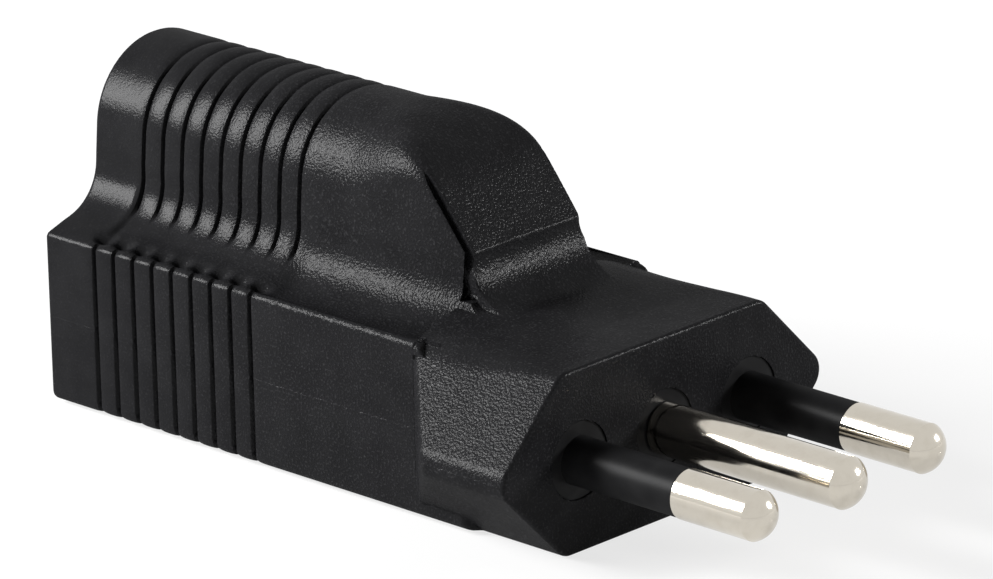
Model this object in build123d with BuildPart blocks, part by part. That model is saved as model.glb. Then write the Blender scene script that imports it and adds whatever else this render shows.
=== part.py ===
from build123d import *
from math import radians, tan
import os

# A moulded plug adapter. +X runs along the pins, away from the body, and +Z is up.
# The origin lies on the plug's face, in the middle of the earth pin. Sizes in mm.

# Pins: three in one line, the outer two with insulating sleeves.
pin_pitch = 9.5
pin_radius = 2.0
pin_length = 19.5
earth_radius = 2.08
earth_length = 19.9
dome_height = 1.3
sleeve_radius = 1.94
sleeve_root_radius = 1.97
sleeve_bore = 1.45
sleeve_length = 11.1
sleeve_depth = 3.0
earth_neck = 1.7
collar_radius = 2.6
collar_width = 1.0
barrel_radius = 1.8
barrel_length = 4.0
barrel_grip = 2.5

# Leads: copper strands in an insulating jacket.
strand_radius = 0.8
lead_radius = 1.25
lead_bend = 5.0
earth_bend = 3.2
socket_straight = 8.0
pin_straight = 2.0

# Outside: a block with a tall hump, and a six-sided plug in front of it.
body_length = 55.6
block_side_wall = 0.7
block_top = 7.0
block_bottom = -7.15
block_edge = 0.6
block_bottom_edge = 0.8
hump_foot_y = 7.38
hump_foot_z = 8.82
hump_foot_radius = 4.1
hump_crest_y = 6.31
hump_crest_z = 20.95
hump_radius = 6.8
rim_radius = 0.5

plug_length = 14.3
plug_half_width = 18.6
plug_flat = 11.3
plug_half_height = 7.45
plug_corner = 1.8
plug_side_corner = 1.6
plug_face_edge = 0.35
flare_length = 5.5
heel_length = 9.4
heel_height = 3.0
ledge_length = 14.1
ledge_drop = 0.9

# Nose: the hump's front rounds off into a slope that ends in a crisp ridge over a hollow.
nose_angle = 51.0
nose_radius = 12.0
ridge_z = 12.55
nose_half_width = 6.2
hollow_radius = 2.7
hollow_foot_z = 8.6
apron_length = 9.5

# Grip grooves.
groove_count = 9
groove_pitch = 2.2
groove_first = 5.25
groove_width = 0.9
groove_depth = 0.45
groove_gap_low = 6.6
groove_gap_high = 8.6

# Everything inside the outer moulding shares one outline.
core_side_wall = 1.75
core_floor_wall = 0.5
riser_side_wall = 1.1
riser_top_wall = 2.0
core_corner = 1.0
carrier_depth = 18.0
cover_thickness = 2.0
riser_slope_start = 27.0
riser_slope_end_z = 5.5
lead_cover = 0.4
front_radius = 2.6

# Socket: two blade slots and an earth hole above them.
slot_pitch = 12.7
slot_width = 2.0
line_slot_height = 7.2
neutral_slot_height = 8.8
socket_wall = 2.5
chamber_half_width = 1.9
chamber_half_height = 4.4
chamber_corner = 0.3
earth_hole_radius = 2.7
earth_hole_z = 11.9
earth_chamber_radius = 3.3
strip = 0.5
blade_gap = 1.55
contact_height = 6.0
earth_bore = 2.4
earth_slit = 1.0
contact_setback = 0.2
contact_barrel_end = 4.2

# Pin bridge: a bar with three bosses whose ends show as discs on the plug's face.
bridge_setback = 9.5
bridge_length = 5.5
bridge_radius = 3.6
boss_radius = 3.1
boss_recess = 0.15

# Cutting shapes reach this far past what they cut.
margin = 1.0

# Places that several pieces share, first along X.
rear_x = -body_length
carrier_x = rear_x + carrier_depth
cover_x = carrier_x + cover_thickness
bridge_x = -bridge_setback
boss_x = bridge_x + bridge_length
barrel_x = bridge_x - barrel_length
collar_x = bridge_x + bridge_length / 2
chamber_x = rear_x + socket_wall
contact_x = chamber_x + contact_setback
contact_end_x = carrier_x + contact_barrel_end
lead_turn_x = contact_end_x + socket_straight
lead_join_x = barrel_x - pin_straight
ridge_x = -plug_length
crest_x = ridge_x - (hump_crest_z - ridge_z) / tan(radians(nose_angle))
ledge_x = -ledge_length

slot_y = slot_pitch / 2
core_half_width = slot_y + chamber_half_width + core_side_wall
core_half_height = chamber_half_height + core_floor_wall
riser_half_width = earth_chamber_radius + riser_side_wall
riser_top = earth_hole_z + earth_chamber_radius + riser_top_wall
block_half_width = pin_pitch + front_radius + block_side_wall

# The inner mould widens where the outer leads would leave the core.
lead_slant = (lead_join_x - lead_turn_x) / (pin_pitch - slot_y)
front_x = lead_turn_x + lead_slant * (core_half_width - slot_y - lead_radius - lead_cover)


def pin(label, centre_y, length, radius, neck, head_x):
    """One pin: crimp barrel, collar held by the bridge, thinner neck and domed head."""
    outline = [
        (barrel_x, 0),
        (barrel_x, barrel_radius),
        (bridge_x, barrel_radius),
        (bridge_x, neck),
        (collar_x, neck),
        (collar_x, collar_radius),
        (collar_x + collar_width, collar_radius),
        (collar_x + collar_width, neck),
        (head_x, neck),
        (head_x, radius),
        (length - dome_height, radius),
    ]
    dome_radius = (radius**2 + dome_height**2) / (2 * dome_height)
    with BuildPart() as piece:
        with BuildSketch():
            with BuildLine():
                Polyline([(x, centre_y + r) for x, r in outline])
                RadiusArc((length - dome_height, centre_y + radius), (length, centre_y), dome_radius)
                Line((length, centre_y), (barrel_x, centre_y))
            make_face()
        revolve(axis=Axis((0, centre_y, 0), (1, 0, 0)))
        with BuildSketch(Plane.YZ.offset(barrel_x)):
            with Locations((centre_y, 0)):
                Circle(strand_radius)
        extrude(amount=barrel_grip, mode=Mode.SUBTRACT)
    piece.part.label = label
    return piece.part


def sleeve(label, centre_y):
    """The insulating tube round an outer pin, drafted, with its root set into the bridge's boss."""
    with BuildPart() as piece:
        with BuildSketch():
            with BuildLine():
                Polyline(
                    (-sleeve_depth, centre_y + sleeve_bore),
                    (-sleeve_depth, centre_y + sleeve_root_radius),
                    (sleeve_length, centre_y + sleeve_radius),
                    (sleeve_length, centre_y + sleeve_bore),
                    close=True,
                )
            make_face()
        revolve(axis=Axis((0, centre_y, 0), (1, 0, 0)))
    piece.part.label = label
    return piece.part


def lead(label, points, bend, plane, radius, bore=0):
    """A round lead swept along straight runs joined by arcs, hollow where bore is given."""
    with BuildPart() as piece:
        with BuildLine(plane) as path:
            FilletPolyline(points, radius=bend)
        with BuildSketch(Plane(origin=path.line @ 0, z_dir=path.line % 0)):
            Circle(radius)
            if bore:
                Circle(bore, mode=Mode.SUBTRACT)
        sweep()
    piece.part.label = label
    return piece.part


def lead_points(start_x, end_x, from_across, to_across):
    """The corners of a lead's route in its own plane, from the socket's end to the pin's."""
    return [
        (start_x, from_across),
        (lead_turn_x, from_across),
        (lead_join_x, to_across),
        (end_x, to_across),
    ]


def blade_contact(label, centre_y):
    """Two leaves, one each side of the blade, joined at the back by a plate and a barrel."""
    half = blade_gap / 2 + strip
    with BuildPart() as piece:
        with BuildSketch(Plane.XY.offset(-contact_height / 2)):
            with Locations(((contact_x + carrier_x) / 2, centre_y)):
                Rectangle(carrier_x - contact_x, 2 * half)
            with Locations(((contact_x + carrier_x - strip) / 2, centre_y)):
                Rectangle(carrier_x - strip - contact_x, blade_gap, mode=Mode.SUBTRACT)
        extrude(amount=contact_height)
        with BuildSketch(Plane.YZ.offset(carrier_x)):
            with Locations((centre_y, 0)):
                Circle(lead_radius)
        extrude(amount=contact_end_x - carrier_x)
        with BuildSketch(Plane.YZ.offset(contact_end_x - barrel_grip)):
            with Locations((centre_y, 0)):
                Circle(strand_radius)
        extrude(amount=barrel_grip, mode=Mode.SUBTRACT)
    piece.part.label = label
    return piece.part


# Pins and sleeves.
line_pin = pin("line_pin", -pin_pitch, pin_length, pin_radius, sleeve_bore, sleeve_length)
neutral_pin = pin("neutral_pin", pin_pitch, pin_length, pin_radius, sleeve_bore, sleeve_length)
earth_pin = pin("earth_pin", 0, earth_length, earth_radius, earth_neck, 0)
line_pin_sleeve = sleeve("line_pin_sleeve", -pin_pitch)
neutral_pin_sleeve = sleeve("neutral_pin_sleeve", pin_pitch)

# Leads: each route serves the strands, the jacket and the space they take in the inner mould.
side_plane = Plane.XY
upright_plane = Plane.XZ
strand_start = contact_end_x - barrel_grip
strand_end = barrel_x + barrel_grip


def lead_set(name, from_across, to_across, plane, bend):
    """Strands, jacket and the space for one lead."""
    strands = lead(
        f"{name}_conductor",
        lead_points(strand_start, strand_end, from_across, to_across),
        bend,
        plane,
        strand_radius,
    )
    jacket = lead(
        f"{name}_insulation",
        lead_points(contact_end_x, barrel_x, from_across, to_across),
        bend,
        plane,
        lead_radius,
        strand_radius,
    )
    space = lead(
        f"{name}_space",
        lead_points(cover_x, barrel_x, from_across, to_across),
        bend,
        plane,
        lead_radius,
    )
    return strands, jacket, space


line_set = lead_set("line", -slot_y, -pin_pitch, side_plane, lead_bend)
neutral_set = lead_set("neutral", slot_y, pin_pitch, side_plane, lead_bend)
earth_set = lead_set("earth", earth_hole_z, 0, upright_plane, earth_bend)

# Contacts.
line_contact = blade_contact("line_contact", -slot_y)
neutral_contact = blade_contact("neutral_contact", slot_y)

with BuildPart() as earth_contact:
    with BuildSketch(Plane.YZ.offset(contact_x)):
        with Locations((0, earth_hole_z)):
            Circle(earth_bore + strip)
    extrude(amount=carrier_x - contact_x)
    with BuildSketch(Plane.YZ.offset(contact_x)):
        with Locations((0, earth_hole_z)):
            Circle(earth_bore)
    extrude(amount=carrier_x - strip - contact_x, mode=Mode.SUBTRACT)
    with BuildSketch(Plane.YZ.offset(contact_x)):
        with Locations((0, earth_hole_z + earth_bore)):
            Rectangle(earth_slit, 2 * strip + earth_bore)
    extrude(amount=carrier_x - strip - contact_x, mode=Mode.SUBTRACT)
    with BuildSketch(Plane.YZ.offset(carrier_x)):
        with Locations((0, earth_hole_z)):
            Circle(lead_radius)
    extrude(amount=contact_end_x - carrier_x)
    with BuildSketch(Plane.YZ.offset(contact_end_x - barrel_grip)):
        with Locations((0, earth_hole_z)):
            Circle(strand_radius)
    extrude(amount=barrel_grip, mode=Mode.SUBTRACT)
earth_contact.part.label = "earth_contact"

# The outline that the carrier, its cover and the inner mould share.
with BuildSketch() as core_outline:
    Rectangle(2 * core_half_width, 2 * core_half_height)
    with Locations((0, riser_top / 2)):
        Rectangle(2 * riser_half_width, riser_top)
    fillet(core_outline.vertices(), core_corner)

with BuildPart() as contact_carrier:
    with BuildSketch(Plane.YZ.offset(rear_x)):
        add(core_outline.sketch_local)
    extrude(amount=carrier_depth)
    with BuildSketch(Plane.YZ.offset(chamber_x)):
        with Locations((-slot_y, 0), (slot_y, 0)):
            RectangleRounded(2 * chamber_half_width, 2 * chamber_half_height, chamber_corner)
        with Locations((0, earth_hole_z)):
            Circle(earth_chamber_radius)
    extrude(amount=carrier_depth - socket_wall, mode=Mode.SUBTRACT)
    with BuildSketch(Plane.YZ.offset(rear_x)):
        with Locations((-slot_y, 0)):
            Rectangle(slot_width, line_slot_height)
        with Locations((slot_y, 0)):
            Rectangle(slot_width, neutral_slot_height)
        with Locations((0, earth_hole_z)):
            Circle(earth_hole_radius)
    extrude(amount=socket_wall, mode=Mode.SUBTRACT)
contact_carrier.part.label = "contact_carrier"

with BuildPart() as carrier_cover:
    with BuildSketch(Plane.YZ.offset(carrier_x)):
        add(core_outline.sketch_local)
        with Locations((-slot_y, 0), (slot_y, 0), (0, earth_hole_z)):
            Circle(lead_radius, mode=Mode.SUBTRACT)
    extrude(amount=cover_thickness)
carrier_cover.part.label = "carrier_cover"

# The inner mould's riser slopes down under the nose, and its front widens round the barrels.
with BuildPart() as inner_block:
    with BuildSketch(Plane.YZ.offset(cover_x)):
        add(core_outline.sketch_local)
    extrude(amount=bridge_x - cover_x)
    with BuildSketch(Plane.XZ):
        with BuildLine():
            Polyline(
                (-riser_slope_start, riser_top),
                (bridge_x, riser_slope_end_z),
                (bridge_x + margin, riser_top + margin),
                (-riser_slope_start, riser_top + margin),
                close=True,
            )
        make_face()
    extrude(amount=riser_half_width + margin, both=True, mode=Mode.SUBTRACT)
    with BuildSketch(Plane.YZ.offset(front_x)):
        SlotCenterToCenter(2 * pin_pitch, 2 * front_radius)
    extrude(amount=bridge_x - front_x)

with BuildPart() as inner_mould:
    add(inner_block.part)
    for lead_space in (line_set[2], neutral_set[2], earth_set[2]):
        add(lead_space, mode=Mode.SUBTRACT)
    with BuildSketch(Plane.YZ.offset(barrel_x)):
        with Locations((-pin_pitch, 0), (0, 0), (pin_pitch, 0)):
            Circle(barrel_radius)
    extrude(amount=barrel_length, mode=Mode.SUBTRACT)
inner_mould.part.label = "inner_mould"

# The pin bridge: its own outside first, because the outer moulding takes its shape.
with BuildPart() as bridge_block:
    with BuildSketch(Plane.YZ.offset(bridge_x)):
        SlotCenterToCenter(2 * pin_pitch, 2 * bridge_radius)
    extrude(amount=bridge_length)
    with BuildSketch(Plane.YZ.offset(boss_x)):
        with Locations((-pin_pitch, 0), (0, 0), (pin_pitch, 0)):
            Circle(boss_radius)
    extrude(amount=-boss_recess - boss_x)

with BuildPart() as pin_bridge:
    add(bridge_block.part)
    for held in (line_pin, neutral_pin, earth_pin, line_pin_sleeve, neutral_pin_sleeve):
        add(held, mode=Mode.SUBTRACT)
pin_bridge.part.label = "pin_bridge"

# The outer moulding's outlines.
with BuildSketch() as block_outline:
    with BuildLine():
        FilletPolyline(
            (0, block_bottom),
            (block_half_width, block_bottom),
            (block_half_width, block_top),
            (hump_foot_y, hump_foot_z),
            (hump_crest_y, hump_crest_z),
            (0, hump_crest_z),
            radius=[block_bottom_edge, block_edge, hump_foot_radius, hump_radius],
        )
        Line((0, hump_crest_z), (0, block_bottom))
    make_face()
    mirror(about=Plane.YZ)

with BuildSketch() as groove_outline:
    add(block_outline.sketch_local)
    offset(amount=groove_depth)
    offset(block_outline.sketch_local, amount=-groove_depth, mode=Mode.SUBTRACT)
    with Locations((0, (groove_gap_low + groove_gap_high) / 2)):
        Rectangle(
            2 * (block_half_width + margin), groove_gap_high - groove_gap_low, mode=Mode.SUBTRACT
        )

with BuildSketch() as plug_outline:
    Polygon(
        (-plug_half_width, 0),
        (-plug_flat, plug_half_height),
        (plug_flat, plug_half_height),
        (plug_half_width, 0),
        (plug_flat, -plug_half_height),
        (-plug_flat, -plug_half_height),
        align=None,
    )
    fillet(plug_outline.vertices().group_by(Axis.Y)[1], plug_side_corner)
    levels = plug_outline.vertices().group_by(Axis.Y)
    fillet(levels[0] + levels[-1], plug_corner)

with BuildPart() as body_overmould:
    # Block and hump.
    with BuildSketch(Plane.YZ.offset(rear_x)):
        add(block_outline.sketch_local)
    extrude(amount=body_length - plug_length)
    fillet(body_overmould.faces().sort_by(Axis.X)[0].edges(), rim_radius)
    # The nose's slope, rounded into the crest.
    with BuildSketch(Plane.XZ):
        with BuildLine():
            FilletPolyline(
                (rear_x, hump_crest_z), (crest_x, hump_crest_z), (ridge_x, ridge_z), radius=nose_radius
            )
            Polyline(
                (ridge_x, ridge_z),
                (ridge_x + margin, ridge_z),
                (ridge_x + margin, hump_crest_z + margin),
                (rear_x, hump_crest_z + margin),
                (rear_x, hump_crest_z),
            )
        make_face()
    extrude(amount=block_half_width, both=True, mode=Mode.SUBTRACT)
    # The six-sided plug, flared out from the block at its back.
    with BuildSketch(Plane.YZ.offset(-plug_length)):
        add(plug_outline.sketch_local)
    extrude(amount=plug_length)
    with BuildSketch(Plane.XY.offset(-plug_half_height)):
        with BuildLine():
            Polyline(
                (-plug_length, block_half_width),
                (-plug_length + flare_length, plug_half_width),
                (-plug_length + flare_length, plug_half_width + margin),
                (-plug_length, plug_half_width + margin),
                close=True,
            )
        make_face()
        mirror(about=Plane.XZ)
    extrude(amount=2 * plug_half_height, mode=Mode.SUBTRACT)
    # The block's lower edges run on under the flare and end in a slant.
    with BuildSketch(Plane.XY.offset(block_bottom)):
        with BuildLine():
            Polyline(
                (-plug_length, 0),
                (-plug_length, block_half_width),
                (-heel_length, block_half_width),
                (-heel_length + block_half_width - plug_flat, plug_flat),
                (-heel_length + block_half_width - plug_flat, 0),
                close=True,
            )
        make_face()
        mirror(about=Plane.XZ)
    extrude(amount=heel_height)
    # The block's upper edges run on a little too, and end in a slant down to the flare.
    with BuildSketch(Plane.XZ):
        Polygon(
            (-plug_length, block_top),
            (ledge_x, block_top),
            (ledge_x + ledge_drop, block_top - ledge_drop),
            (-plug_length, block_top - ledge_drop),
            align=None,
        )
    extrude(amount=block_half_width - block_edge, both=True)
    # The hollow under the ridge and the apron that runs forward from it.
    with BuildSketch(Plane.XZ):
        with BuildLine():
            arc_end = (ridge_x + hollow_radius, hollow_foot_z)
            RadiusArc((ridge_x, hollow_foot_z + hollow_radius), arc_end, -hollow_radius)
            Line(arc_end, (ridge_x + apron_length, plug_half_height))
            Line((ridge_x + apron_length, plug_half_height), (ridge_x + apron_length, 0))
            Line((ridge_x + apron_length, 0), (ridge_x, 0))
            Line((ridge_x, 0), (ridge_x, hollow_foot_z + hollow_radius))
        make_face()
    extrude(amount=nose_half_width, both=True)
    # The plug face's edge.
    fillet(body_overmould.faces().sort_by(Axis.X)[-1].edges(), plug_face_edge)
    # Grip grooves.
    for number in range(groove_count):
        groove_x = rear_x + groove_first + number * groove_pitch
        with BuildSketch(Plane.YZ.offset(groove_x)):
            add(groove_outline.sketch_local)
        extrude(amount=groove_width, mode=Mode.SUBTRACT)
    # Room for everything inside.
    with BuildSketch(Plane.YZ.offset(rear_x)):
        add(core_outline.sketch_local)
    extrude(amount=carrier_depth + cover_thickness, mode=Mode.SUBTRACT)
    add(inner_block.part, mode=Mode.SUBTRACT)
    add(bridge_block.part, mode=Mode.SUBTRACT)
    with BuildSketch(Plane.YZ.offset(-boss_recess)):
        with Locations((-pin_pitch, 0), (0, 0), (pin_pitch, 0)):
            Circle(boss_radius)
    extrude(amount=boss_recess, mode=Mode.SUBTRACT)
body_overmould.part.label = "body_overmould"

os.makedirs("parts", exist_ok=True)
export_step(body_overmould.part, "parts/body_overmould.step")
export_step(pin_bridge.part, "parts/pin_bridge.step")
export_step(line_pin, "parts/line_pin.step")
export_step(neutral_pin, "parts/neutral_pin.step")
export_step(earth_pin, "parts/earth_pin.step")
export_step(line_pin_sleeve, "parts/line_pin_sleeve.step")
export_step(neutral_pin_sleeve, "parts/neutral_pin_sleeve.step")
export_step(contact_carrier.part, "parts/contact_carrier.step")
export_step(carrier_cover.part, "parts/carrier_cover.step")
export_step(line_contact, "parts/line_contact.step")
export_step(neutral_contact, "parts/neutral_contact.step")
export_step(earth_contact.part, "parts/earth_contact.step")
export_step(line_set[0], "parts/line_conductor.step")
export_step(neutral_set[0], "parts/neutral_conductor.step")
export_step(earth_set[0], "parts/earth_conductor.step")
export_step(line_set[1], "parts/line_insulation.step")
export_step(neutral_set[1], "parts/neutral_insulation.step")
export_step(earth_set[1], "parts/earth_insulation.step")
export_step(inner_mould.part, "parts/inner_mould.step")
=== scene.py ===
import math

import bmesh
import bpy
import numpy as np
from mathutils import Matrix, Vector


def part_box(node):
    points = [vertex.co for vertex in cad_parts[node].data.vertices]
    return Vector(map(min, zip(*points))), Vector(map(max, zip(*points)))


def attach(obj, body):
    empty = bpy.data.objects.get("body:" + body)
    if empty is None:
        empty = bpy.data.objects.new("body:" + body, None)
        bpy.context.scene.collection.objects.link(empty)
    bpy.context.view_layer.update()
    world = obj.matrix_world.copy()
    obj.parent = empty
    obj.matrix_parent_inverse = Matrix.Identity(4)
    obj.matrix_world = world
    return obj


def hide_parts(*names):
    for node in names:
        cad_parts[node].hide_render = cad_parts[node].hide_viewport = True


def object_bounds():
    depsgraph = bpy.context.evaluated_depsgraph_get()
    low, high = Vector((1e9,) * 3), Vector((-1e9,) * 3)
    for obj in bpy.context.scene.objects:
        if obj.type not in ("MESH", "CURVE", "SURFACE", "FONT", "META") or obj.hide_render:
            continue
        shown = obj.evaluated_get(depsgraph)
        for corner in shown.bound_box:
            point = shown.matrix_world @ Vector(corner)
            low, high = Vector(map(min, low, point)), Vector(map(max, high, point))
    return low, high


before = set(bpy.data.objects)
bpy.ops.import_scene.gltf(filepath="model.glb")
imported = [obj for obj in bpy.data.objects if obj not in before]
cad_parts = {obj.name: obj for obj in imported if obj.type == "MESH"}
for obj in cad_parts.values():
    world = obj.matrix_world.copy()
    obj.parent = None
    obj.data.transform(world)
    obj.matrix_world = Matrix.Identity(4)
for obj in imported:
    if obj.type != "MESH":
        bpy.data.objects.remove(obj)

cad_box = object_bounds()

MM = 0.001
TINY = 1e-9

# Sizes of the outer moulding in millimetres, in the frame's axes: +X along the pins, +Z up.
# Places across it are half widths, because its two sides are alike.
# A name that ends in FADE is a pair of places between which something fades in or out.
body_low, body_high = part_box("body_overmould")
REAR_X = body_low.x / MM
CREST_Z = body_high.z / MM

# Block.
BLOCK_SIDE = 12.8
BLOCK_TOP = 7.0
BLOCK_BOTTOM = -7.15
BLOCK_EDGE = 0.6
BLOCK_BOTTOM_EDGE = 0.8
RIM_EDGE = 0.5

# Hump, and the shoulder that rises to its foot.
FOOT_Y = 7.38
FOOT_Z = 8.82
FOOT_RADIUS = 4.1
CREST_Y = 6.31
CREST_RADIUS = 6.8
SHOULDER_RISE = math.atan2(FOOT_Z - BLOCK_TOP, BLOCK_SIDE - FOOT_Y)
WALL_LEAN = math.atan2(FOOT_Y - CREST_Y, CREST_Z - FOOT_Z)

# Centre of the foot's round, from the angle between the shoulder's and the wall's normals.
FOOT_COSINE = math.sin(SHOULDER_RISE + WALL_LEAN)
FOOT_SINE = math.cos(SHOULDER_RISE + WALL_LEAN)
FOOT_CENTRE_Y = FOOT_Y + FOOT_RADIUS * (math.cos(SHOULDER_RISE) - math.sin(WALL_LEAN)) / FOOT_SINE
FOOT_CENTRE_Z = FOOT_Z + FOOT_RADIUS * (math.cos(WALL_LEAN) - math.sin(SHOULDER_RISE)) / FOOT_SINE

# Grip grooves. On the crest they are shallower between rounder ribs, and on the shoulder they fade out.
GROOVE_COUNT = 9
GROOVE_PITCH = 2.2
GROOVE_FIRST = -49.9
GROOVE_HALF = 0.24
GROOVE_DEPTH = 0.55
CROWN_DEPTH = 0.1
CROWN_POWER = 2.5
GROOVE_CREST_FADE = (18.6, 20.4)
GROOVE_CREST_LOSS = 0.75
CROWN_CREST_GAIN = 1.2
GROOVE_EDGE_FADE = (12.5, 11.9)
GROOVE_LOWER_FADE = (5.0, 5.6)
GROOVE_UPPER_FADE = (9.3, 8.2)
LAST_GROOVE = GROOVE_FIRST + (GROOVE_COUNT - 1) * GROOVE_PITCH

# Trough between the block's raised edge and the hump: a round like the foot's, but lower.
# The ribs have only a share of its depth, and a pit behind the edge at each groove.
TROUGH_DEPTH = 0.95
LIP = 0.55
LIP_SOFTNESS = 0.25
TROUGH_START = -50.6
TROUGH_END = -14.2
TROUGH_REAR_FADE = (TROUGH_START, TROUGH_START + 0.8)
TROUGH_FRONT_FADE = (TROUGH_END - 0.3, TROUGH_END + 0.3)
TROUGH_RIBBED_FADE = (LAST_GROOVE - 1.0, LAST_GROOVE + 2.0)
RIBBED_SHARE = 0.4
PIT_Y = 11.4
PIT_DEPTH = 0.6
PIT_LENGTH = 0.75
PIT_WIDTH = 0.6
PIT_LOWER_FADE = (4.5, 5.5)
PIT_UPPER_FADE = (10.0, 9.0)

# Nose: the slope at the hump's front, its ridge, and the narrow slots beside it.
RIDGE_X = -14.3
RIDGE_Z = 12.55
RIDGE_EDGE = 0.25
END_SOFTNESS = 0.12
NOSE_ANGLE = math.radians(51.0)
NOSE_RADIUS = 12.0
NOSE_EDGE = 0.9
NOSE_EDGE_FADE = (-28.0, -18.0)
SLOT_FLOOR = 8.6
SLOT_TOP = 20.4
SLOT_FADE_HEIGHT = 3.5
SLOT_INNER = 5.85
SLOT_NARROWING = 0.3
SLOT_SETBACK = 0.55
SLOT_SLANT = 0.7
TUCK_START = -24.0
TUCK_DEPTH = 0.75

# Hollow between the nose and the plug's top.
NOSE_HALF = 6.2
HOLLOW_RADIUS = 3.7
HOLLOW_SIDE_FADE = (NOSE_HALF + 0.1, NOSE_HALF - 0.1)
HOLLOW_LOWER_FADE = (6.0, 7.0)

# Six-sided plug. It and what adjoins it reach a little way back into the block.
FACE_X = 0.0
FRONT_START = RIDGE_X - 0.6
PLUG_SIDE = 18.6
PLUG_TOP = 7.45
PLUG_FLAT = 11.3
PLUG_SLANT = math.atan2(PLUG_SIDE - PLUG_FLAT, PLUG_TOP)
PLUG_CORNER = 1.8
PLUG_CORNER_REAR = 6.0
PLUG_CORNER_FADE = (-1.0, -11.0)
PLUG_SIDE_CORNER = 1.75
FACE_EDGE = 0.35
FLARE_LENGTH = 5.5
FLARE_EDGE = 0.5
DECK_START = -4.8
DECK_RISE = 0.12
DECK_SIDE_FADE = (5.0, 11.0)
DECK_SIDE_LOSS = 0.75

# Block's edges where they run on past its end, and the fill above them.
HEEL_X = -9.4
HEEL_HEIGHT = 3.0
HEEL_SOFTNESS = 0.3
LEDGE_X = -14.1
LEDGE_DROP = 0.9
LEDGE_INSET = 1.5
LEDGE_SOFTNESS = 0.2
FILL_RADIUS = 1.6
FILL_TOP = 8.8
FILL_INSET = 0.5

# Parting line. It shows on the sides only, and less on the ribs.
PARTING_Z = 0.0
PARTING_HEIGHT = 0.04
PARTING_WIDTH = 0.08
PARTING_SIDE_FADE = (BLOCK_SIDE - 0.8, BLOCK_SIDE - 0.3)
PARTING_FACE_FADE = (-0.3, -0.8)
PARTING_REAR_FADE = (REAR_X + 0.5, REAR_X + 1.0)
PARTING_RIBS_REAR_FADE = (GROOVE_FIRST - 1.0, GROOVE_FIRST)
PARTING_RIBS_FRONT_FADE = (LAST_GROOVE + 1.0, LAST_GROOVE)
PARTING_RIBS_LOSS = 0.8

# Room inside for the socket's carrier, the inner mould, the pin bridge and its bosses.
carrier_low, carrier_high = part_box("contact_carrier")
mould_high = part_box("inner_mould")[1]
bridge_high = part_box("pin_bridge")[1]
PIN_PITCH = 9.5
BOSS_RADIUS = 3.1
BOSS_LENGTH = 3.85
CORE_HALF = carrier_high.y / MM
CORE_LOW = carrier_low.z / MM
CORE_HIGH = -CORE_LOW
CORE_CORNER = 1.0
RISER_TOP = carrier_high.z / MM
RISER_HALF = 4.4
RISER_SLOPE_X = -27.0
RISER_SLOPE_Z = 5.5
MOULD_FRONT = mould_high.x / MM
MOULD_FRONT_HALF = mould_high.y / MM
MOULD_WIDE_X = -19.1
FRONT_HALF_HEIGHT = MOULD_FRONT_HALF - PIN_PITCH
BRIDGE_FRONT = bridge_high.x / MM - BOSS_LENGTH
BRIDGE_HALF_HEIGHT = bridge_high.z / MM


def step(value, start, end):
    """Goes smoothly from 0 at start to 1 at end."""
    t = np.clip((value - start) / (end - start), 0.0, 1.0)
    return t * t * (3 - 2 * t)


def rounded(a, b, radius, cosine=0.0):
    """The common part of two solids, its edge rounded; cosine is that of the angle between their normals."""
    a = a + radius
    b = b + radius
    sine2 = 1 - cosine * cosine
    along_a = (a - b * cosine) / sine2
    along_b = (b - a * cosine) / sine2
    arc = np.sqrt(np.maximum(along_a**2 + along_b**2 + 2 * along_a * along_b * cosine, 0))
    return np.where((along_a > 0) & (along_b > 0), arc, np.maximum(a, b)) - radius


def filleted(a, b, radius, cosine=0.0):
    """Two solids joined, with the corner between them filled."""
    return -rounded(-a, -b, radius, cosine)


def softened(a, b, width):
    """The common part of two solids, with a soft edge of that width."""
    near = np.maximum(width - np.abs(a - b), 0) / width
    return np.maximum(a, b) + near * near * width / 4


def plane(u, v, at_u, at_v, angle):
    """Distance from a line through a point; its normal leans angle from the u axis towards v."""
    return (u - at_u) * math.cos(angle) + (v - at_v) * math.sin(angle)


def tuck(x):
    """How far the hump's walls draw in towards the nose."""
    return TUCK_DEPTH * (np.maximum(x - TUCK_START, 0) / (RIDGE_X - TUCK_START)) ** 2


def wall_side(x, z):
    """Half width of the hump's wall."""
    return FOOT_Y - tuck(x) - (z - FOOT_Z) * math.tan(WALL_LEAN)


def groove_offset(x):
    """Distance along X from the nearest grip groove."""
    number = np.clip(np.round((x - GROOVE_FIRST) / GROOVE_PITCH), 0, GROOVE_COUNT - 1)
    return np.abs(x - GROOVE_FIRST - number * GROOVE_PITCH)


def shoulder_plane(w, z):
    """Distance from the shoulder's slope."""
    return plane(w, z, BLOCK_SIDE, BLOCK_TOP, math.pi / 2 - SHOULDER_RISE)


def wall_plane(x, w, z):
    """Distance from the hump's wall."""
    return plane(w, z, FOOT_Y - tuck(x), FOOT_Z, WALL_LEAN)


def foot_centre_distance(x, w, z, drop):
    """Distance from the middle of the foot's round, once that is lowered by drop."""
    return np.hypot(w - FOOT_CENTRE_Y + tuck(x), z - FOOT_CENTRE_Z + drop)


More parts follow.
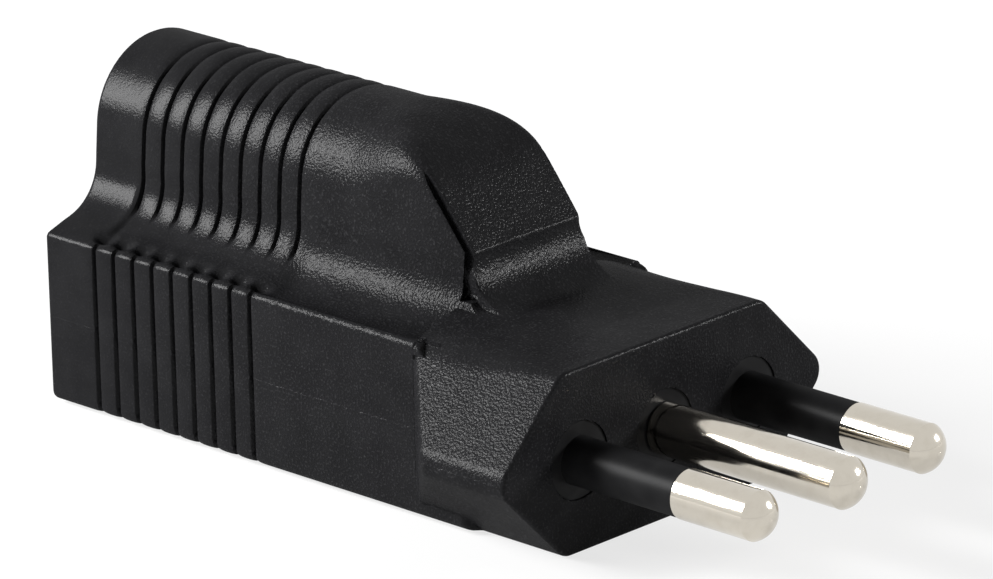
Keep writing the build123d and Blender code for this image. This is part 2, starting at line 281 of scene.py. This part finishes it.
def block_and_hump(x, w, z):
    """The block with its shoulder, the hump on it and the nose that closes the hump's front."""
    slope = plane(x, z, RIDGE_X, RIDGE_Z, math.pi / 2 - NOSE_ANGLE)
    top = rounded(z - CREST_Z, slope, NOSE_RADIUS, math.cos(NOSE_ANGLE))
    crest_edge = CREST_RADIUS + (NOSE_EDGE - CREST_RADIUS) * step(x, *NOSE_EDGE_FADE)
    hump = rounded(wall_plane(x, w, z), top, crest_edge, math.sin(WALL_LEAN))
    upper = filleted(shoulder_plane(w, z), hump, FOOT_RADIUS, FOOT_COSINE)
    solid = rounded(w - BLOCK_SIDE, upper, BLOCK_EDGE, math.sin(SHOULDER_RISE))
    solid = rounded(solid, BLOCK_BOTTOM - z, BLOCK_BOTTOM_EDGE)
    solid = rounded(solid, REAR_X - x, RIM_EDGE)
    shown = step(x, *TROUGH_REAR_FADE) * (1 - step(x, *TROUGH_FRONT_FADE))
    shown = shown * (RIBBED_SHARE + (1 - RIBBED_SHARE) * step(x, *TROUGH_RIBBED_FADE))
    trough = foot_centre_distance(x, w, z, TROUGH_DEPTH * shown) - FOOT_RADIUS
    solid = softened(solid, -np.maximum(trough, w - BLOCK_SIDE + LIP), LIP_SOFTNESS)
    end = rounded(x - RIDGE_X, slope, RIDGE_EDGE, math.sin(NOSE_ANGLE))
    return softened(solid, end, END_SOFTNESS)


def nose_slot(x, w, z):
    """The narrow slot between the nose's side and the end of the hump's wall, which slants inward."""
    shown = step(z, SLOT_TOP, SLOT_TOP - SLOT_FADE_HEIGHT)
    front = RIDGE_X - np.maximum(z - RIDGE_Z, 0) / math.tan(NOSE_ANGLE)
    inset = np.maximum(wall_side(x, z) - w, 0)
    behind = front - (SLOT_SETBACK + SLOT_SLANT * inset) * shown
    beside = SLOT_INNER - w + SLOT_NARROWING * (1 - shown)
    return np.maximum(np.maximum(beside, behind - x), SLOT_FLOOR - z)


def plug_top(x, w):
    """Height of the plug's top, which rises towards the nose."""
    rise = DECK_RISE * np.maximum(DECK_START - x, 0)
    return PLUG_TOP + rise * (1 - DECK_SIDE_LOSS * step(w, *DECK_SIDE_FADE))


def plug(x, w, z):
    """The six-sided plug, its top rising towards the nose, its sides flared from the block."""
    deck = z - plug_top(x, w)
    corner = PLUG_CORNER + (PLUG_CORNER_REAR - PLUG_CORNER) * step(x, *PLUG_CORNER_FADE)
    upper = plane(w, z, PLUG_FLAT, PLUG_TOP, PLUG_SLANT)
    lower = plane(w, -z, PLUG_FLAT, PLUG_TOP, PLUG_SLANT)
    top = rounded(upper, deck, corner, math.sin(PLUG_SLANT))
    bottom = rounded(lower, -PLUG_TOP - z, PLUG_CORNER, math.sin(PLUG_SLANT))
    solid = rounded(top, bottom, PLUG_SIDE_CORNER)
    flare_angle = math.atan2(-FLARE_LENGTH, PLUG_SIDE - BLOCK_SIDE)
    flare = plane(w, x, BLOCK_SIDE, RIDGE_X, flare_angle)
    solid = rounded(solid, flare, FLARE_EDGE)
    solid = np.maximum(solid, FRONT_START - x)
    return rounded(solid, x - FACE_X, FACE_EDGE)


def heel(x, w, z):
    """The block's lower edge, which runs on under the flare and ends in a slant."""
    solid = rounded(w - BLOCK_SIDE, BLOCK_BOTTOM - z, BLOCK_BOTTOM_EDGE)
    solid = np.maximum(solid, z - BLOCK_BOTTOM - HEEL_HEIGHT)
    solid = softened(solid, plane(x, w, HEEL_X, BLOCK_SIDE, math.pi / 4), HEEL_SOFTNESS)
    solid = np.maximum(solid, x - HEEL_X - BLOCK_SIDE + PLUG_FLAT)
    return np.maximum(solid, FRONT_START - x)


def ledge(x, w, z):
    """The short run of the block's upper edge past its end, cut off at a slant."""
    solid = rounded(w - BLOCK_SIDE, z - BLOCK_TOP, BLOCK_EDGE)
    solid = np.maximum(solid, FOOT_Y + LEDGE_INSET - w)
    solid = softened(solid, plane(x, z, LEDGE_X, BLOCK_TOP, math.pi / 4), LEDGE_SOFTNESS)
    solid = np.maximum(solid, BLOCK_TOP - LEDGE_DROP - z)
    return np.maximum(solid, FRONT_START - x)


def shoulder_fill(x, w, z):
    """The round between the shoulder's end and the plug's top."""
    under = filleted(shoulder_plane(w, z), wall_plane(x, w, z), FOOT_RADIUS, FOOT_COSINE)
    under = np.maximum(under, FOOT_RADIUS - foot_centre_distance(x, w, z, TROUGH_DEPTH))
    solid = np.maximum(under, filleted(x - RIDGE_X, z - plug_top(x, w), FILL_RADIUS))
    beside = np.maximum(w - BLOCK_SIDE + LIP + FILL_INSET, x - RIDGE_X - FILL_RADIUS)
    solid = np.maximum(solid, beside)
    solid = np.maximum(solid, np.maximum(z - FILL_TOP, BLOCK_TOP - LEDGE_DROP - z))
    return np.maximum(solid, FRONT_START - x)


def groove_cut(x, w, z):
    """How deep the grooves cut, with the ribs' soft crowns and the pits behind the block's edge."""
    off = groove_offset(x)
    line = np.maximum(1 - off / GROOVE_HALF, 0)
    crown = np.maximum(1 - off / (GROOVE_PITCH / 2), 0) ** CROWN_POWER
    on_crest = step(z, *GROOVE_CREST_FADE)
    on_shoulder = step(w, *GROOVE_EDGE_FADE) * step(z, *GROOVE_LOWER_FADE) * step(z, *GROOVE_UPPER_FADE)
    line_depth = GROOVE_DEPTH * (1 - GROOVE_CREST_LOSS * on_crest) - CROWN_DEPTH
    crown_depth = CROWN_DEPTH * (1 + CROWN_CREST_GAIN * on_crest)
    depth = line_depth * line + crown_depth * crown
    pit = np.exp(-((off / PIT_LENGTH) ** 2) - ((w - PIT_Y) / PIT_WIDTH) ** 2)
    pit_depth = PIT_DEPTH * pit * step(z, *PIT_LOWER_FADE) * step(z, *PIT_UPPER_FADE)
    return depth * (1 - on_shoulder) + pit_depth


def parting_bead(x, w, z):
    """The height of the fine raised line where the mould's halves met."""
    bead = np.exp(-(((z - PARTING_Z) / PARTING_WIDTH) ** 2))
    shown = step(w, *PARTING_SIDE_FADE) * step(x, *PARTING_FACE_FADE) * step(x, *PARTING_REAR_FADE)
    lost = PARTING_RIBS_LOSS * step(x, *PARTING_RIBS_REAR_FADE) * step(x, *PARTING_RIBS_FRONT_FADE)
    shown = shown * (1 - lost)
    return PARTING_HEIGHT * bead * shown


def prism(w, z, half_width, low, high, corner):
    """A long upright block with rounded corners, seen along X."""
    across = w - half_width
    upright = np.maximum(z - high, low - z)
    return rounded(across, upright, corner)


def stadium(w, z, half_height):
    """A bar with round ends that spans the three pins, seen along X."""
    return np.hypot(np.maximum(w - PIN_PITCH, 0), z) - half_height


def room_inside(x, w, z):
    """The room for the socket's carrier, the inner mould, the pin bridge and its bosses."""
    core = prism(w, z, CORE_HALF, CORE_LOW, CORE_HIGH, CORE_CORNER)
    riser = prism(w, z, RISER_HALF, 0.0, RISER_TOP, CORE_CORNER)
    slope = math.atan2(RISER_TOP - RISER_SLOPE_Z, MOULD_FRONT - RISER_SLOPE_X)
    riser = np.maximum(riser, plane(x, z, RISER_SLOPE_X, RISER_TOP, math.pi / 2 - slope))
    room = np.maximum(np.minimum(core, riser), x - MOULD_FRONT)
    front = np.maximum(MOULD_WIDE_X - x, x - MOULD_FRONT)
    front = np.maximum(stadium(w, z, FRONT_HALF_HEIGHT), front)
    bridge = np.maximum(MOULD_FRONT - x, x - BRIDGE_FRONT)
    bridge = np.maximum(stadium(w, z, BRIDGE_HALF_HEIGHT), bridge)
    bosses = np.minimum(np.hypot(w - PIN_PITCH, z), np.hypot(w, z)) - BOSS_RADIUS
    bosses = np.maximum(bosses, BRIDGE_FRONT - x)
    return np.minimum(np.minimum(room, front), np.minimum(bridge, bosses))


def outer_moulding(x, y, z):
    """Signed distance in millimetres from the outer moulding's surface, below 0 inside it."""
    w = np.abs(y)
    back = np.maximum(block_and_hump(x, w, z), -nose_slot(x, w, z))
    front = np.minimum(plug(x, w, z), np.minimum(heel(x, w, z), ledge(x, w, z)))
    solid = np.minimum(np.minimum(back, front), shoulder_fill(x, w, z))
    in_hollow = step(w, *HOLLOW_SIDE_FADE) * step(z, *HOLLOW_LOWER_FADE)
    solid = solid + (filleted(back, front, HOLLOW_RADIUS) - solid) * in_hollow
    solid = solid + groove_cut(x, w, z) - parting_bead(x, w, z)
    return np.maximum(solid, -room_inside(x, w, z))


# Mesh of a distance field.
def spaced(*stretches):
    """Grid planes from (start, end, spacing) stretches that follow each other."""
    planes = [np.linspace(a, b, max(2, round((b - a) / gap) + 1))[:-1] for a, b, gap in stretches]
    return np.concatenate(planes + [[stretches[-1][1]]])


def gradient(field, points, reach=0.01):
    """Unit normals of the field at points."""
    out = np.empty_like(points)
    for axis in range(3):
        shift = np.zeros(3)
        shift[axis] = reach
        out[:, axis] = field(*(points + shift).T) - field(*(points - shift).T)
    return out / np.maximum(np.linalg.norm(out, axis=1), TINY)[:, None]


def edge_crossings(values, grids):
    """Where grid edges along each axis cross the surface, with the four cells around each edge."""
    inside = values < 0
    size = [len(g) - 1 for g in grids]
    crossings = []
    cells = []
    for axis in range(3):
        lower = [slice(None)] * 3
        upper = [slice(None)] * 3
        lower[axis] = slice(None, -1)
        upper[axis] = slice(1, None)
        at = np.argwhere(inside[tuple(lower)] != inside[tuple(upper)])
        near = values[tuple(lower)][tuple(at.T)]
        far = values[tuple(upper)][tuple(at.T)]
        point = np.stack([grids[k][at[:, k]] for k in range(3)], axis=1)
        next_plane = grids[axis][at[:, axis] + 1]
        point[:, axis] += (next_plane - point[:, axis]) * near / (near - far)
        across = (axis + 1) % 3
        along = (axis + 2) % 3
        around = []
        for first, second in ((0, 0), (1, 0), (1, 1), (0, 1)):
            cell = at.copy()
            cell[:, across] -= first
            cell[:, along] -= second
            around.append((cell[:, 0] * size[1] + cell[:, 1]) * size[2] + cell[:, 2])
        around = np.stack(around, axis=1)
        around[near > 0] = around[near > 0][:, ::-1]
        crossings.append(point)
        cells.append(around)
    return np.concatenate(crossings), np.concatenate(cells)


def cell_vertices(point, normal, quads, count, hold=0.02):
    """For each cell, the spot nearest to the planes of its crossings, held a little to their middle."""
    total = np.zeros((count, 3, 3))
    pull = np.zeros((count, 3))
    middle = np.zeros((count, 3))
    share = np.zeros(count)
    offset = (normal * point).sum(axis=1)
    for corner in range(4):
        index = quads[:, corner]
        share += np.bincount(index, minlength=count)
        for i in range(3):
            middle[:, i] += np.bincount(index, point[:, i], count)
            pull[:, i] += np.bincount(index, normal[:, i] * offset, count)
            for j in range(3):
                total[:, i, j] += np.bincount(index, normal[:, i] * normal[:, j], count)
    middle /= share[:, None]
    keep = hold * share[:, None, None] * np.eye(3)
    held = (keep @ middle[:, :, None])[:, :, 0]
    return np.linalg.solve(total + keep, (pull + held)[:, :, None])[:, :, 0]


def contour(field, xs, ys, zs, rounds=3):
    """A closed mesh of quads where the field is 0, with one vertex in each grid cell that it crosses."""
    grids = (xs, ys, zs)
    size = [len(g) - 1 for g in grids]
    values = field(*np.meshgrid(*grids, indexing="ij", sparse=True))
    point, around = edge_crossings(values, grids)
    cells, quads = np.unique(around, return_inverse=True)
    quads = quads.reshape(around.shape)
    vertex = cell_vertices(point, gradient(field, point), quads, len(cells))
    index = np.stack([cells // (size[1] * size[2]), cells // size[2] % size[1], cells % size[2]], axis=1)
    low = np.stack([grids[k][index[:, k]] for k in range(3)], axis=1)
    high = np.stack([grids[k][index[:, k] + 1] for k in range(3)], axis=1)
    vertex = np.clip(vertex, low, high)
    for _ in range(rounds):
        slope = gradient(field, vertex)
        vertex = np.clip(vertex - slope * field(*vertex.T)[:, None], low, high)
    return vertex, quads


def new_object(name, vertices, faces, material):
    """A smooth mesh piece from points in millimetres, riding on the frame's one body."""
    mesh = bpy.data.meshes.new(name)
    mesh.from_pydata((vertices * MM).tolist(), [], faces.tolist())
    mesh.update()
    piece = bpy.data.objects.new(name, mesh)
    bpy.context.scene.collection.objects.link(piece)
    mesh.materials.append(material)
    mesh.polygons.foreach_set("use_smooth", [True] * len(mesh.polygons))
    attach(piece, "root")
    return piece


def merge_flat_faces(mesh, angle):
    """Merges faces that lie in one plane, then cuts everything into triangles."""
    work = bmesh.new()
    work.from_mesh(mesh)
    bmesh.ops.dissolve_limit(
        work, angle_limit=angle, use_dissolve_boundaries=False, verts=work.verts, edges=work.edges
    )
    bmesh.ops.triangulate(work, faces=work.faces, quad_method="BEAUTY", ngon_method="BEAUTY")
    work.to_mesh(mesh)
    work.free()


def set_true_normals(mesh, field, inset=0.05):
    """Each face corner takes the field's own normal, read a little way into the face."""
    corner_vertex = np.empty(len(mesh.loops), np.int32)
    mesh.loops.foreach_get("vertex_index", corner_vertex)
    place = np.empty(len(mesh.vertices) * 3)
    mesh.vertices.foreach_get("co", place)
    corner = place.reshape(-1, 3)[corner_vertex] / MM
    middle = corner.reshape(-1, 3, 3).mean(axis=1).repeat(3, axis=0)
    inward = middle - corner
    inward *= (inset / np.maximum(np.linalg.norm(inward, axis=1), TINY))[:, None]
    mesh.normals_split_custom_set(gradient(field, corner + inward).tolist())


# Shader parts.
def new_material(name):
    """A node material with its shader and its object coordinates in millimetres."""
    material = bpy.data.materials.new(name)
    material.use_nodes = True
    tree = material.node_tree
    shader = tree.nodes["Principled BSDF"]
    coordinates = tree.nodes.new("ShaderNodeTexCoord")
    scale = tree.nodes.new("ShaderNodeMapping")
    scale.inputs["Scale"].default_value = (1 / MM, 1 / MM, 1 / MM)
    tree.links.new(coordinates.outputs["Object"], scale.inputs["Vector"])
    return material, tree, shader, scale.outputs["Vector"]


def noise(tree, vector, scale, detail=2.0, roughness=0.5):
    """Noise with that many spots to the millimetre."""
    made = tree.nodes.new("ShaderNodeTexNoise")
    made.inputs["Scale"].default_value = scale
    made.inputs["Detail"].default_value = detail
    made.inputs["Roughness"].default_value = roughness
    tree.links.new(vector, made.inputs["Vector"])
    return made.outputs["Fac"]


def mapped(tree, value, source, target):
    """A value brought from one range to another."""
    made = tree.nodes.new("ShaderNodeMapRange")
    for socket, number in zip(("From Min", "From Max", "To Min", "To Max"), (*source, *target)):
        made.inputs[socket].default_value = number
    tree.links.new(value, made.inputs["Value"])
    return made.outputs["Result"]


def mixed(tree, factor, first, second):
    """A colour between two colours."""
    made = tree.nodes.new("ShaderNodeMix")
    made.data_type = "RGBA"
    made.inputs["A"].default_value = (*first, 1)
    made.inputs["B"].default_value = (*second, 1)
    tree.links.new(factor, made.inputs["Factor"])
    return made.outputs["Result"]


def calculated(tree, operation, first, second):
    """Two values, or a value and a number, put together."""
    made = tree.nodes.new("ShaderNodeMath")
    made.operation = operation
    for socket, value in zip(made.inputs, (first, second)):
        if isinstance(value, (int, float)):
            socket.default_value = value
        else:
            tree.links.new(value, socket)
    return made.outputs["Value"]


def bumped(tree, shader, layers):
    """Bump from (height, distance in millimetres) layers, finest first."""
    last = None
    for height, distance in layers:
        made = tree.nodes.new("ShaderNodeBump")
        made.inputs["Distance"].default_value = distance * MM
        made.inputs["Strength"].default_value = 1.0
        tree.links.new(height, made.inputs["Height"])
        if last:
            tree.links.new(last, made.inputs["Normal"])
        last = made.outputs["Normal"]
    tree.links.new(last, shader.inputs["Normal"])


def glossy_skin(tree, shader, weight, roughness):
    """A moulded part's thin gloss, as a faint coat over a dull base, with the same grain."""
    shader.inputs["Specular IOR Level"].default_value = 0.0
    shader.inputs["Coat Weight"].default_value = weight
    shader.inputs["Coat Roughness"].default_value = roughness
    tree.links.new(shader.inputs["Normal"].links[0].from_socket, shader.inputs["Coat Normal"])


# Materials. Each one's noise turns into tone, roughness and bump by the ranges beside it.
BODY_DARK = (0.0075, 0.0075, 0.0082)
# The lighter body colour is used both for the random tone and for the painted glints.
BODY_LIGHT_AND_GLINT = (0.026, 0.026, 0.0275)
NICKEL_BRIGHT = (0.585, 0.545, 0.475)
NICKEL_DULL = (0.54, 0.5, 0.43)
GRAIN_SPREAD = (-50.0, -26.0)
GRAIN_SHARE = (0.3, 1.0)
WHOLE = (0, 1)


def grained_plastic(name, dark, light, roughness, coat):
    """Black moulded plastic with a spark-eroded grain that grows stronger towards the front, and painted
    glints: lighter specks in its colour that stand in for the grain's glints.
    """
    material, tree, shader, vector = new_material(name)
    cloud = noise(tree, vector, scale=0.35, detail=3.0)
    coarse = noise(tree, vector, scale=5.0, detail=1.0)
    fine = noise(tree, vector, scale=10.0, roughness=0.6)
    axes = tree.nodes.new("ShaderNodeSeparateXYZ")
    tree.links.new(vector, axes.inputs["Vector"])
    forward = mapped(tree, axes.outputs["X"], GRAIN_SPREAD, GRAIN_SHARE)
    # Painted glints: lighter specks of colour where the coarse grain would catch light, stronger towards the
    # front.
    painted_glints = calculated(tree, "MULTIPLY", mapped(tree, coarse, (0.55, 0.8), WHOLE), forward)
    tone = calculated(tree, "ADD", mapped(tree, cloud, (0.35, 0.65), (0.06, 0.2)), painted_glints)
    tree.links.new(mixed(tree, tone, dark, light), shader.inputs["Base Color"])
    rough = calculated(tree, "ADD", mapped(tree, cloud, (0.3, 0.7), (-0.04, 0.04)), roughness)
    rough = calculated(tree, "ADD", rough, mapped(tree, fine, (0.3, 0.7), (-0.05, 0.05)))
    tree.links.new(rough, shader.inputs["Roughness"])
    grain = calculated(tree, "MULTIPLY", coarse, forward)
    bumped(tree, shader, [(fine, 0.004), (grain, 0.055)])
    glossy_skin(tree, shader, coat, 0.5 * roughness)
    return material


def satin_plastic(name, dark, light, roughness, coat=0.2):
    """Smooth moulded plastic with faint flow clouds and rubbed spots."""
    material, tree, shader, vector = new_material(name)
    cloud = noise(tree, vector, scale=0.5, detail=3.0)
    fine = noise(tree, vector, scale=9.0)
    tone = mapped(tree, cloud, (0.35, 0.65), WHOLE)
    tree.links.new(mixed(tree, tone, dark, light), shader.inputs["Base Color"])
    rough = mapped(tree, cloud, (0.3, 0.7), (roughness - 0.05, roughness + 0.05))
    tree.links.new(rough, shader.inputs["Roughness"])
    bumped(tree, shader, [(fine, 0.004)])
    glossy_skin(tree, shader, coat, 0.7 * roughness)
    return material


def nickel(name):
    """Polished nickel plate: warm, with fine handling scratches along the pin and dull spots."""
    material, tree, shader, vector = new_material(name)
    stretch = tree.nodes.new("ShaderNodeMapping")
    stretch.inputs["Scale"].default_value = (0.25, 6.0, 6.0)
    tree.links.new(vector, stretch.inputs["Vector"])
    scratch = noise(tree, stretch.outputs["Vector"], scale=1.6, detail=4.0, roughness=0.65)
    spots = noise(tree, vector, scale=0.9, detail=3.0)
    ripple = noise(tree, vector, scale=0.45, detail=1.0)
    tint = mixed(tree, mapped(tree, spots, (0.45, 0.8), WHOLE), NICKEL_BRIGHT, NICKEL_DULL)
    tree.links.new(tint, shader.inputs["Base Color"])
    dulled = mapped(tree, spots, (0.45, 0.8), (0.07, 0.14))
    rough = calculated(tree, "ADD", dulled, mapped(tree, scratch, (0.3, 0.7), (0, 0.06)))
    tree.links.new(rough, shader.inputs["Roughness"])
    shader.inputs["Metallic"].default_value = 1.0
    bumped(tree, shader, [(scratch, 0.002), (ripple, 0.012)])
    return material


def stamped_metal(name, colour):
    """Stamped strip or bare strands with a faint rolled grain."""
    material, tree, shader, vector = new_material(name)
    grain = noise(tree, vector, scale=4.0, detail=3.0)
    dull = tuple(0.7 * c for c in colour)
    tone = mapped(tree, grain, (0.35, 0.7), WHOLE)
    tree.links.new(mixed(tree, tone, colour, dull), shader.inputs["Base Color"])
    tree.links.new(mapped(tree, grain, (0.3, 0.7), (0.25, 0.42)), shader.inputs["Roughness"])
    shader.inputs["Metallic"].default_value = 1.0
    bumped(tree, shader, [(grain, 0.006)])
    return material


body_plastic = grained_plastic("body_plastic", BODY_DARK, BODY_LIGHT_AND_GLINT, roughness=0.40, coat=0.10)
bridge_plastic = satin_plastic(
    "bridge_plastic", (0.010, 0.010, 0.0105), (0.014, 0.014, 0.0145), roughness=0.42, coat=0.16
)
sleeve_plastic = satin_plastic(
    "sleeve_plastic", (0.008, 0.008, 0.0085), (0.012, 0.012, 0.0125), roughness=0.55, coat=0.1
)
carrier_plastic = satin_plastic(
    "carrier_plastic", (0.02, 0.02, 0.021), (0.027, 0.027, 0.028), roughness=0.5
)
inner_plastic = satin_plastic("inner_plastic", (0.5, 0.5, 0.47), (0.58, 0.58, 0.55), roughness=0.55)
pin_nickel = nickel("pin_nickel")
contact_brass = stamped_metal("contact_brass", (0.72, 0.55, 0.28))
bare_copper = stamped_metal("bare_copper", (0.72, 0.36, 0.2))
brown_jacket = satin_plastic(
    "brown_jacket", (0.16, 0.07, 0.03), (0.22, 0.1, 0.045), roughness=0.35, coat=0.5
)
blue_jacket = satin_plastic(
    "blue_jacket", (0.04, 0.1, 0.42), (0.06, 0.14, 0.52), roughness=0.35, coat=0.5
)
green_jacket = satin_plastic(
    "green_jacket", (0.1, 0.34, 0.06), (0.14, 0.42, 0.09), roughness=0.35, coat=0.5
)

finishes = {
    "body_overmould": body_plastic,
    "pin_bridge": bridge_plastic,
    "line_pin": pin_nickel,
    "neutral_pin": pin_nickel,
    "earth_pin": pin_nickel,
    "line_pin_sleeve": sleeve_plastic,
    "neutral_pin_sleeve": sleeve_plastic,
    "contact_carrier": carrier_plastic,
    "carrier_cover": carrier_plastic,
    "line_contact": contact_brass,
    "neutral_contact": contact_brass,
    "earth_contact": contact_brass,
    "line_conductor": bare_copper,
    "neutral_conductor": bare_copper,
    "earth_conductor": bare_copper,
    "line_insulation": brown_jacket,
    "neutral_insulation": blue_jacket,
    "earth_insulation": green_jacket,
    "inner_mould": inner_plastic,
}
for name, material in finishes.items():
    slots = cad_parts[name].data.materials
    slots.clear()
    slots.append(material)

# The outer moulding, from its own field. Grid planes lie close together where edges are small.
GROOVE_PLANES = (-1.0, -0.7, -0.45, -0.3, -0.2, -0.1, 0.0, 0.1, 0.2, 0.3, 0.45, 0.7)
ribbed = [GROOVE_FIRST + n * GROOVE_PITCH + off for n in range(GROOVE_COUNT) for off in GROOVE_PLANES]
BEHIND_RIBS = ((REAR_X - 0.2, REAR_X + 0.8, 0.12), (REAR_X + 0.8, ribbed[0], 0.6))
BEFORE_RIBS = (
    (ribbed[-1] + 0.4, -27.4, 0.6), (-27.4, -17.5, 0.4), (-17.5, -13.4, 0.12),
    (-13.4, -8.0, 0.2), (-8.0, -1.0, 0.5), (-1.0, 0.2, 0.12),
)
ACROSS = ((0.0, 5.6, 0.5), (5.6, 8.8, 0.12), (8.8, 13.2, 0.2), (13.2, 17.0, 0.5), (17.0, 18.8, 0.2))
UPWARD = (
    (-7.65, -6.2, 0.16), (-6.2, -0.3, 0.5), (-0.3, 0.3, 0.06), (0.3, 6.0, 0.5),
    (6.0, 9.6, 0.18), (9.6, 15.0, 0.22), (15.0, 21.1, 0.26),
)
FLAT_ANGLE = math.radians(0.25)

xs = np.concatenate([spaced(*BEHIND_RIBS)[:-1], ribbed, spaced(*BEFORE_RIBS)])
half_ys = spaced(*ACROSS)
ys = np.concatenate([-half_ys[:0:-1], half_ys])
points, quads = contour(outer_moulding, xs, ys, spaced(*UPWARD))
moulding = new_object("moulded_body", points, quads, body_plastic)
merge_flat_faces(moulding.data, FLAT_ANGLE)
set_true_normals(moulding.data, outer_moulding)
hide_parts("body_overmould")
print("moulded body", len(moulding.data.polygons), "triangles")

# Camera. The picture's size and the origin's place in it are in pixels.
PICTURE_WIDTH = 993
PICTURE_HEIGHT = 579
ORIGIN_PIXEL = (665.5, 427.9)
FOCAL_PIXELS = 7992.0
SENSOR_WIDTH = 36.0


def place_camera(azimuth, elevation, roll, distance):
    """A camera that looks along a direction and shows the frame's origin at its own pixel."""
    a, e, r = (math.radians(v) for v in (azimuth, elevation, roll))
    back = Vector((math.sin(a) * math.cos(e), -math.cos(a) * math.cos(e), math.sin(e)))
    right = Vector((math.cos(a), math.sin(a), 0.0))
    down = back.cross(right) * -1
    turned_right = right * math.cos(r) - down * math.sin(r)
    turned_down = down * math.cos(r) + right * math.sin(r)
    across = (ORIGIN_PIXEL[0] - PICTURE_WIDTH / 2) / FOCAL_PIXELS * distance
    below = (ORIGIN_PIXEL[1] - PICTURE_HEIGHT / 2) / FOCAL_PIXELS * distance
    data = bpy.data.cameras.new("camera")
    data.sensor_width = SENSOR_WIDTH
    data.lens = FOCAL_PIXELS * SENSOR_WIDTH / PICTURE_WIDTH
    data.clip_start = 0.01
    camera = bpy.data.objects.new("camera", data)
    axes = Matrix((turned_right, -turned_down, back)).transposed().to_4x4()
    spot = back * distance - turned_right * across - turned_down * below
    camera.matrix_world = Matrix.Translation(spot * MM) @ axes
    bpy.context.scene.collection.objects.link(camera)
    bpy.context.scene.camera = camera


place_camera(azimuth=44.38, elevation=19.05, roll=-1.36, distance=612.0)


# Light, floor and surroundings, with lengths in metres.
FLOOR_Z = min(cad_box[0][2], -PLUG_TOP * MM)
FLOOR_REACH = 1.5
FLOOR_GLOW = 0.75
WORLD_LIGHT = 0.08


def softbox(name, direction, distance, width, height, radiance):
    """A soft area lamp that faces the object's middle. Its power follows from how bright its face is."""
    data = bpy.data.lights.new(name, "AREA")
    data.shape = "RECTANGLE"
    data.size = width
    data.size_y = height
    data.energy = radiance * math.pi * width * height * math.pi
    lamp = bpy.data.objects.new(name, data)
    aim = Vector(((body_low.x + body_high.x) / 2, 0, CREST_Z * MM / 3))
    lamp.location = aim + Vector(direction).normalized() * distance
    lamp.rotation_euler = (lamp.location - aim).to_track_quat("Z", "Y").to_euler()
    bpy.context.scene.collection.objects.link(lamp)


softbox("left_softbox", (-0.66, -0.60, 0.45), distance=0.40, width=0.14, height=0.20, radiance=14.0)
softbox("back_softbox", (0.64, 0.68, 0.30), distance=0.45, width=0.11, height=0.09, radiance=20.0)


def seen_directly(tree):
    """At least 1 where the camera, a reflection or glass shows the surface, and else 0."""
    path = tree.nodes.new("ShaderNodeLightPath")
    seen = calculated(tree, "ADD", path.outputs["Is Camera Ray"], path.outputs["Is Glossy Ray"])
    return calculated(tree, "ADD", seen, path.outputs["Is Transmission Ray"])


def pale_floor():
    """A plain white floor that keeps the object's shadow, shown a little lighter than it is lit."""
    material = bpy.data.materials.new("floor_white")
    material.use_nodes = True
    tree = material.node_tree
    shader = tree.nodes["Principled BSDF"]
    shader.inputs["Base Color"].default_value = (0.9, 0.9, 0.9, 1)
    shader.inputs["Roughness"].default_value = 0.9
    shader.inputs["Specular IOR Level"].default_value = 0.0
    glow = tree.nodes.new("ShaderNodeEmission")
    glow.inputs["Strength"].default_value = 1.0
    mix = tree.nodes.new("ShaderNodeMixShader")
    tree.links.new(calculated(tree, "MULTIPLY", seen_directly(tree), FLOOR_GLOW), mix.inputs["Fac"])
    tree.links.new(shader.outputs["BSDF"], mix.inputs[1])
    tree.links.new(glow.outputs["Emission"], mix.inputs[2])
    tree.links.new(mix.outputs["Shader"], tree.nodes["Material Output"].inputs["Surface"])
    mesh = bpy.data.meshes.new("floor")
    signs = ((-1, -1), (1, -1), (1, 1), (-1, 1))
    corners = [(a * FLOOR_REACH, b * FLOOR_REACH, FLOOR_Z) for a, b in signs]
    mesh.from_pydata(corners, [], [(0, 1, 2, 3)])
    mesh.materials.append(material)
    floor = bpy.data.objects.new("floor", mesh)
    bpy.context.scene.collection.objects.link(floor)


def pale_world():
    """White surroundings that give only a faint light of their own."""
    world = bpy.data.worlds.new("studio")
    bpy.context.scene.world = world
    world.use_nodes = True
    tree = world.node_tree
    background = tree.nodes["Background"]
    background.inputs["Color"].default_value = (1, 1, 1, 1)
    shown = calculated(tree, "MINIMUM", seen_directly(tree), 1.0)
    tree.links.new(mapped(tree, shown, WHOLE, (WORLD_LIGHT, 1.0)), background.inputs["Strength"])


pale_floor()
pale_world()

bpy.context.scene.view_settings.view_transform = "Standard"
